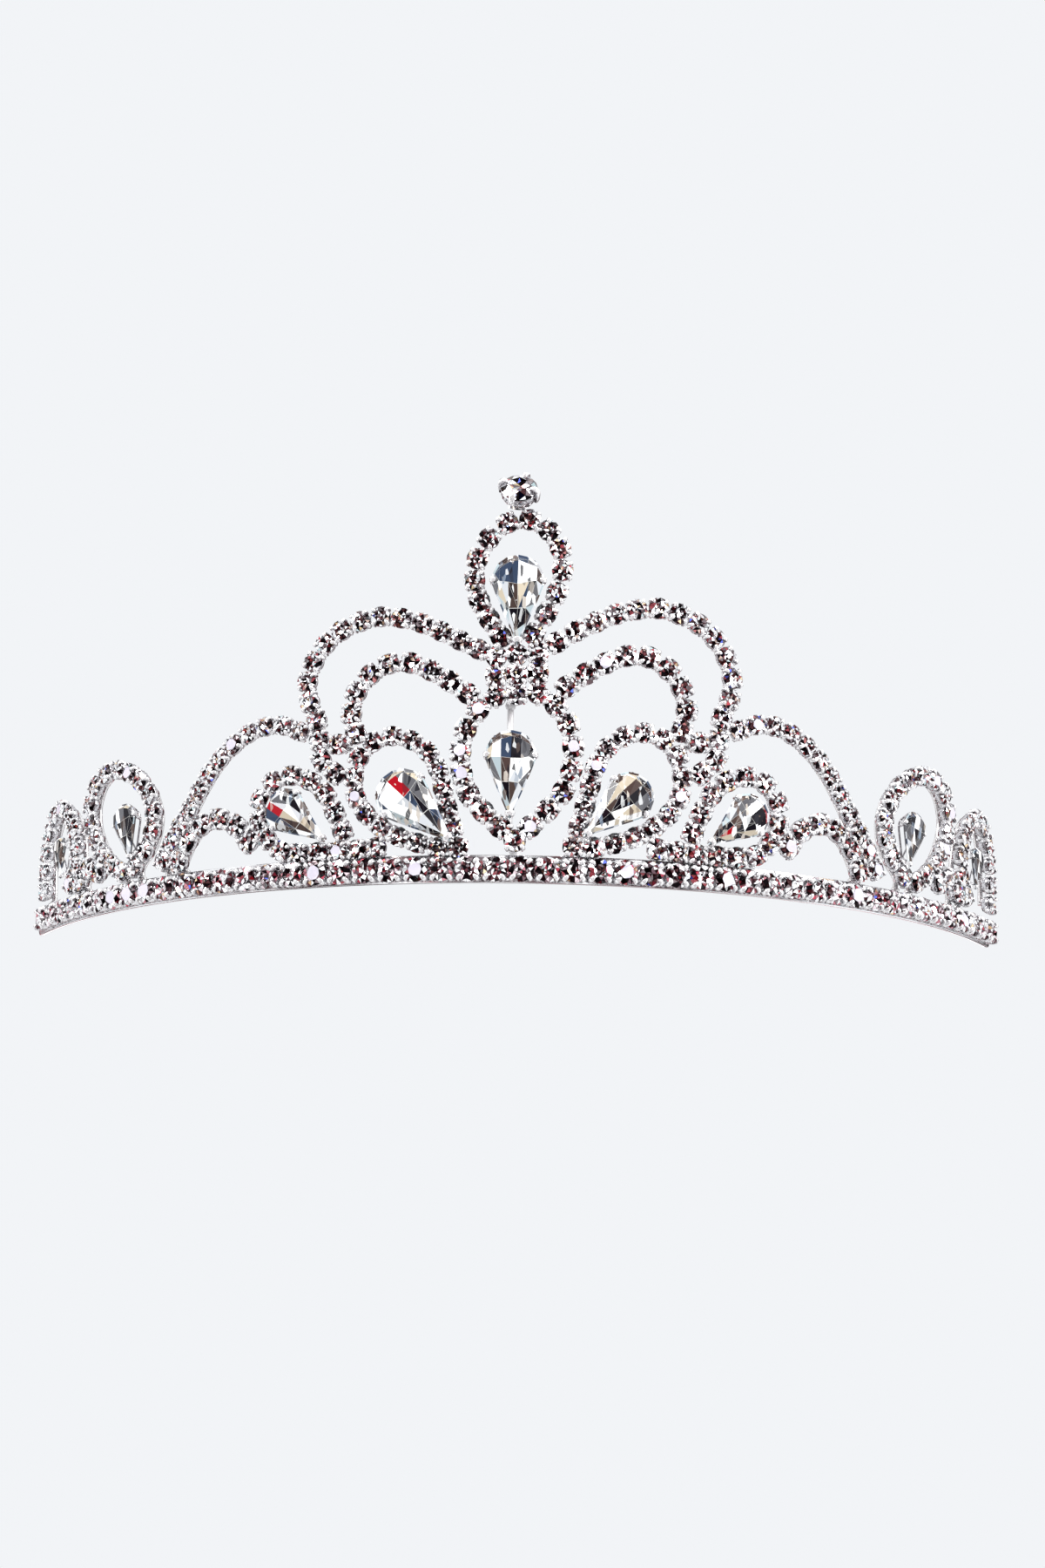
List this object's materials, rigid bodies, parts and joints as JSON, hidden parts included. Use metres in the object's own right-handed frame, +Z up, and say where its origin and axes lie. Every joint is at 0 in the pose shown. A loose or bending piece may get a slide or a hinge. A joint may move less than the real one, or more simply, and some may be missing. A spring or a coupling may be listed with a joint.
{
  "type": "bridal tiara",
  "caption": "Silver bridal tiara of rhinestone cup chain in scrolled loops with clear pear stones, on a curved metal headband.",
  "frame": {"origin": "centre of the tiara's bounding box, on the surface that the headband stands on", "axes": "+Z up, front of the tiara towards -Y, band open towards +Y"},
  "size_m": [0.1622, 0.0595, 0.0658],
  "materials": {
    "band": "polished",
    "setting": "polished",
    "crystal": "faceted and foil backed"
  },
  "bodies": {
    "root": {"band_strip": "band", "band_cups": "setting", "band_stones": "crystal", "top_cup": "setting", "top_stone": "crystal", "crown_loop_cups": "setting", "crown_loop_stones": "crystal", "crown_pear_cup": "setting", "crown_pear_stone": "crystal", "joint_cups": "setting", "joint_stones": "crystal", "centre_drop_cups": "setting", "centre_drop_stones": "crystal", "centre_rod": "setting", "centre_pear_cup": "setting", "centre_pear_stone": "crystal", "centre_wires": "setting", "left_arc_wires": "setting", "left_loop_wires": "setting", "right_arc_wires": "setting", "right_loop_wires": "setting", "left_upper_arc_cups": "setting", "left_upper_arc_stones": "crystal", "right_upper_arc_cups": "setting", "right_upper_arc_stones": "crystal", "left_inner_arc_cups": "setting", "left_inner_arc_stones": "crystal", "right_inner_arc_cups": "setting", "right_inner_arc_stones": "crystal", "left_inner_loop_cups": "setting", "left_inner_loop_stones": "crystal", "right_inner_loop_cups": "setting", "right_inner_loop_stones": "crystal", "left_middle_loop_cups": "setting", "left_middle_loop_stones": "crystal", "right_middle_loop_cups": "setting", "right_middle_loop_stones": "crystal", "left_outer_arc_cups": "setting", "left_outer_arc_stones": "crystal", "right_outer_arc_cups": "setting", "right_outer_arc_stones": "crystal", "left_small_arch_cups": "setting", "left_small_arch_stones": "crystal", "right_small_arch_cups": "setting", "right_small_arch_stones": "crystal", "left_outer_loop_cups": "setting", "left_outer_loop_stones": "crystal", "right_outer_loop_cups": "setting", "right_outer_loop_stones": "crystal", "left_end_loop_cups": "setting", "left_end_loop_stones": "crystal", "right_end_loop_cups": "setting", "right_end_loop_stones": "crystal", "left_pear_cups": "setting", "left_pear_stones": "crystal", "right_pear_cups": "setting", "right_pear_stones": "crystal"}
  },
  "joints": []
}
